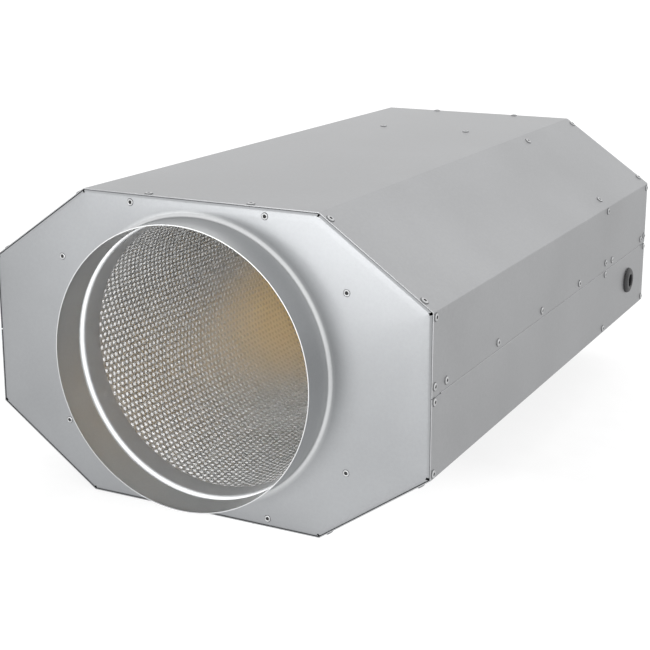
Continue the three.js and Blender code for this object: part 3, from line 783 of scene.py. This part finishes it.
# guide vanes and motor mount
parts = [outward(*turned([(13, 233), (19.4, 233), (20, 233.6), (20, 293)] + arc(23, 293, 3, 180, 90, 4) + [(69.5, 296)] + arc(69.5, 298.5, 2.5, 270, 360, 5) +
                         [(72, 365), (71.2, 366), (70.2, 366), (69.5, 365.3), (69.5, 300), (13, 300)], 96)),
         outward(*turned([(155.2, 300.6), (155.8, 300), (157.3, 300), (157.3, 336), (155.8, 336), (155.2, 335.4)], 144))]
for k in range(9):
    base = 2 * math.pi * (k + 0.5) / 9 + 0.14

    def vane(u, v, h, base=base):
        y, r = 302 + 32 * v, 70.8 + (156.2 - 70.8) * u
        bend = -0.30 * (1 - v) * (1 - v) * (1 - 0.35 * u)
        return polar(r, base + bend + h / r, y + h * 0.25)
    parts.append(blade(vane, 1.1, 8, 12))
v, f = join(*parts)
guide = finish_mesh("guide_vanes", v, f, "cast", "casing", "cast_aluminium", "guide_vane_ring", sharp=34)

cover = [(0, 361), (69.2, 361), (69.2, 363.6), (68.2, 364.7), (59, 366), (57, 366.5), (24, 366.5), (22.5, 365.6), (0, 365.6)]
v, f = outward(*turned(cover, 96, closed=False))
finish_mesh("motor_cover", v, f, "cast", "casing", "cast_aluminium", "motor_rear_cover")

for name, y in (("front_bearing", 236), ("rear_bearing", 286)):
    v, f = outward(*turned([(8.05, y + 0.5), (8.4, y), (10, y), (10.2, y + 0.6), (11, y + 0.6), (11.2, y), (12.4, y), (12.7, y + 0.4), (12.7, y + 10.6), (12.4, y + 11),
                            (11.2, y + 11), (11, y + 10.4), (10.2, y + 10.4), (10, y + 11), (8.4, y + 11), (8.05, y + 10.5)], 48))
    finish_mesh("ball_bearing_" + name.split("_")[0], v, f, "steel", "casing", "machined_steel", name)

# ---- grommet ----------------------------------------------------------------------------------
gp = [(9.6, -5.0)] + [(9.0, -4.2), (9.0, 3.2)] + arc(10.4, 3.6, 1.4, 180, 95, 5) + [(12.4, 5.0), (14.6, 4.75), (16.4, 4.0), (17.5, 2.8), (18.0, 1.3), (18.0, 0.35), (13.8, 0.3), (13.8, -SHEET - GAP),
     (16.6, -SHEET - GAP), (16.4, -2.6), (15.4, -4.2), (13.4, -5.0)]
v, f = outward(*turned(gp, 64, axis="x", at=(A, GROMMET_Y, GROMMET_Z)))
finish_mesh("rubber_grommet", v, f, "rubber", "casing", "black_rubber", "cable_grommet", sharp=50)


# ---- rivets -----------------------------------------------------------------------------------
def rivet_mesh(name, grip, shadow_skirt, rim, eye, edge):
    """Domed blind rivet: outside radius edge a dark flank and a thin skirt, painted shadow round the head; inside
    radius eye the pull stem, near black as painted shade of its bore; shank.
    """
    prof = [(0, 1.42), (1.2, 1.36), (1.4, 1.2), (1.75, 1.2), (eye, 1.44), (eye + 0.35, 1.6), (2.8, 1.66), (3.2, 1.56), (3.6, 1.36), (4.0, 1.0), (4.4, 0.52), (4.68, 0.26), (4.75, 0.12),
            (shadow_skirt, 0.05), (shadow_skirt, 0.02), (2.4, 0.03), (2.4, -grip), (1.6, -grip - 0.4), (0, -grip - 0.4)]
    v, f = turned(prof, 20, closed=False, axis="y")
    v, f = outward(v, f)
    me = bpy.data.meshes.new(name)
    me.from_pydata([(x * MM, y * MM, z * MM) for x, y, z in v], [], f)
    me.materials.append(MAT["rivet"])
    me.materials.append(MAT["stem"])
    me.materials.append(MAT[rim])
    for p in me.polygons:
        c = p.center
        r = math.hypot(c.x, c.z)
        # faces outside edge, the skirt included, take the painted-shadow ring; faces inside eye take the stem's
        # painted shade
        p.material_index = 0 if c.y < 0 else 1 if r < eye * MM else 2 if r > edge * MM else 0
    me.polygons.foreach_set("use_smooth", [True] * len(me.polygons))
    me.update()
    me.set_sharp_from_angle(angle=math.radians(50))
    return me


RIVET = rivet_mesh("blind_rivet", 4.6, 5.05, "rim", 2.0, 3.7)
SMALL = rivet_mesh("flush_rivet", 4.6, 5.0, "soft_painted_shadow_rim", 1.8, 4.1)


def place_rivet(name, at, normal, replaces=None, kind=None):
    o = bpy.data.objects.new(name, (kind or SMALL).copy())
    n = Vector(normal).normalized()
    o.data.transform(n.to_track_quat("Y", "Z").to_matrix().to_4x4() @ Matrix.Rotation(rng.uniform(0, 6.28), 4, "Y"))
    o.data.transform(Matrix.Translation(Vector((at[0] * MM, at[1] * MM, (at[2] + AX) * MM))))
    bpy.context.scene.collection.objects.link(o)
    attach(o, "casing")
    if replaces:
        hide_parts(replaces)
    return o


for end, y, n in (("front", -END, (0, -1, 0)), ("rear", END, (0, 1, 0))):
    for key, (x, z) in PLATE_RIVETS.items():
        place_rivet(f"{end}_plate_{key}_rivet", (x, y, z), n, f"{end}_plate_rivet_{key}", RIVET)
for k, y in enumerate(SEAM_RIVET_Y):
    place_rivet(f"seam_rivet_right_{k + 1}", (A, y, SEAM_RIVET_Z), (1, 0, 0), f"right_seam_rivet_{k + 1}")
    place_rivet(f"seam_rivet_left_{k + 1}", (-A, y, SEAM_RIVET_Z), (-1, 0, 0))

# rings of rivets through the flanges of the front plate, the bulkhead and the rear plate
SL = math.hypot(A - XT, B - ZS)
for ring, y in (("front", -399.3), ("bulkhead", 200.0), ("rear", 399.3)):
    n = 0
    for sx in (1, -1):
        for sz in (1, -1):
            spots = [((sx * 63.5, y, sz * B), (0, 0, sz))]
            for d in (12.0, SL - 15.5):
                u = d / SL
                spots.append(((sx * (XT + (A - XT) * u), y, sz * (B + (ZS - B) * u)), (sx * NX, 0, sz * NZ)))
            spots.append(((sx * A, y, sz * 82.5), (sx, 0, 0)))
            spots.append(((sx * A, y, 10.5 if sz > 0 else -5.8), (sx, 0, 0)))
            for at, nrm in spots:
                n += 1
                place_rivet(f"ring_rivet_{ring}_{n:02d}", at, nrm)

# ---- CAD nodes that stay, with their own materials --------------------------------------------
KEEP = {"front_wool_upper": "wool", "front_wool_lower": "wool", "rear_wool_upper": "wool", "rear_wool_lower": "wool", "motor_stator": "winding",
        "terminal_box_base": "blackplastic", "terminal_box_lid": "blackplastic", "terminal_block": "greyplastic", "run_capacitor": "greyplastic", "motor_lead": "rubber"}
for name, mat in KEEP.items():
    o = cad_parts[name]
    o.data.materials.clear()
    o.data.materials.append(MAT[mat])
    if mat != "wool":
        b = o.modifiers.new("edges", "BEVEL")
        b.width, b.segments, b.limit_method, b.angle_limit = 0.0005, 2, "ANGLE", math.radians(40)

# ---- floor, light, camera ---------------------------------------------------------------------
me = bpy.data.meshes.new("studio_floor")
S, Z0 = 40.0, -0.0017
WORLD = 1.42
me.from_pydata([(-S, -S, Z0), (S, -S, Z0), (S, S, Z0), (-S, S, Z0)], [], [(0, 1, 2, 3)])
fm = Nodes("studio_floor")
fn = fm.noise(30, 3, 0.5)
fm.set(Base_Color=fm.ramp(fn, [(0.3, (0.15, 0.15, 0.15)), (0.7, (0.17, 0.17, 0.17))]), Roughness=0.75)
fm.bsdf.inputs["Emission Color"].default_value = (1, 1, 1, 1)      # a light table: soft, nearly shadowless
far = fm.add("ShaderNodeVectorMath", operation="DISTANCE")     # a little stronger in front of the casing
far.inputs[1].default_value = (0.26, -0.56, 0.0)
fm.link(fm.coord, far.inputs[0])
fm.link(fm.range(far.outputs["Value"], 0.05, 0.45, 1.14, 0.80), fm.bsdf.inputs["Emission Strength"])
# seen from below, the floor is clear, so that the casing's underside shows
clear, back_face, pick = fm.add("ShaderNodeBsdfTransparent"), fm.add("ShaderNodeNewGeometry"), fm.add("ShaderNodeMixShader")
fm.link(back_face.outputs["Backfacing"], pick.inputs[0])
fm.link(fm.bsdf.outputs[0], pick.inputs[1])
fm.link(clear.outputs[0], pick.inputs[2])
fm.link(pick.outputs[0], fm.out.inputs[0])
me.materials.append(fm.mat)
floor = bpy.data.objects.new("studio_floor", me)
bpy.context.scene.collection.objects.link(floor)

scene = bpy.context.scene
world = bpy.data.worlds.new("studio")
scene.world = world
world.use_nodes = True
bg = world.node_tree.nodes["Background"]
bg.inputs[0].default_value = (1.0, 1.0, 1.0, 1)
bg.inputs[1].default_value = WORLD
scene.view_settings.view_transform = "Standard"


def area(name, at, aim, size, power, colour=(1, 1, 1), size_y=None, shape="RECTANGLE"):
    l = bpy.data.lights.new(name, "AREA")
    l.shape = shape
    l.size, l.size_y = size, size_y or size
    l.energy = power
    l.color = colour
    o = bpy.data.objects.new(name, l)
    o.location = at
    o.rotation_mode = "QUATERNION"
    o.rotation_quaternion = (Vector(aim) - Vector(at)).to_track_quat("-Z", "Y")
    o.visible_camera = False
    scene.collection.objects.link(o)
    return o


area("low_front", (-0.58, -2.15, 0.16), (0.1, -0.4, 0.3), 1.0, 4.9, size_y=0.28)
area("low_mid", (-0.12, -1.25, 0.07), (0.22, -0.4, 0.24), 0.6, 0.38, size_y=0.12)


def spot(name, at, aim, power, angle, blend=0.6, radius=0.02, colour=(1, 1, 1)):
    l = bpy.data.lights.new(name, "SPOT")
    l.energy = power
    l.spot_size = math.radians(angle)
    l.spot_blend = blend
    l.shadow_soft_size = radius
    l.color = colour
    o = bpy.data.objects.new(name, l)
    o.location = at
    o.rotation_mode = "QUATERNION"
    o.rotation_quaternion = (Vector(aim) - Vector(at)).to_track_quat("-Z", "Y")
    o.visible_camera = False
    scene.collection.objects.link(o)
    return o


area("duct_mouth", (0, -0.446, 0.177), (0, 0.2, 0.177), 0.29, 0.56, shape="DISK")
spot("duct_top", (0.05, -0.36, 0.075), (-0.03, -0.12, 0.33), 0.8, 110, blend=1.0, radius=0.04)
spot("duct_fill", (-0.09, -0.375, 0.262), (0.08, -0.16, 0.06), 0.7, 130, blend=1.0, radius=0.04)
spot("impeller_light", (0.05, -0.1, 0.177), (0, 0.25, 0.177), 1.9, 44, radius=0.05)

# camera: fitted to the casing's corners, the spigot's circles and the rivets
cam = bpy.data.cameras.new("camera")
cam.sensor_width = 36
cam.lens = 1396.6 / 650 * 36
cam.shift_x, cam.shift_y = 0.0, (273 - 325) / 650
cam.clip_start, cam.clip_end = 0.05, 60
az, el, roll = math.radians(27.24), math.radians(13.83), math.radians(0.06)
back = Vector((math.sin(az) * math.cos(el), -math.cos(az) * math.cos(el), math.sin(el)))
right = (-back).cross(Vector((0, 0, 1))).normalized()
up = right.cross(-back)
r2 = right * math.cos(roll) + up * math.sin(roll)
u2 = -right * math.sin(roll) + up * math.cos(roll)
co = bpy.data.objects.new("camera", cam)
co.matrix_world = Matrix(((r2.x, u2.x, back.x, 0.7824), (r2.y, u2.y, back.y, -1.628), (r2.z, u2.z, back.z, 0.6305), (0, 0, 0, 1)))
scene.collection.objects.link(co)
scene.camera = co
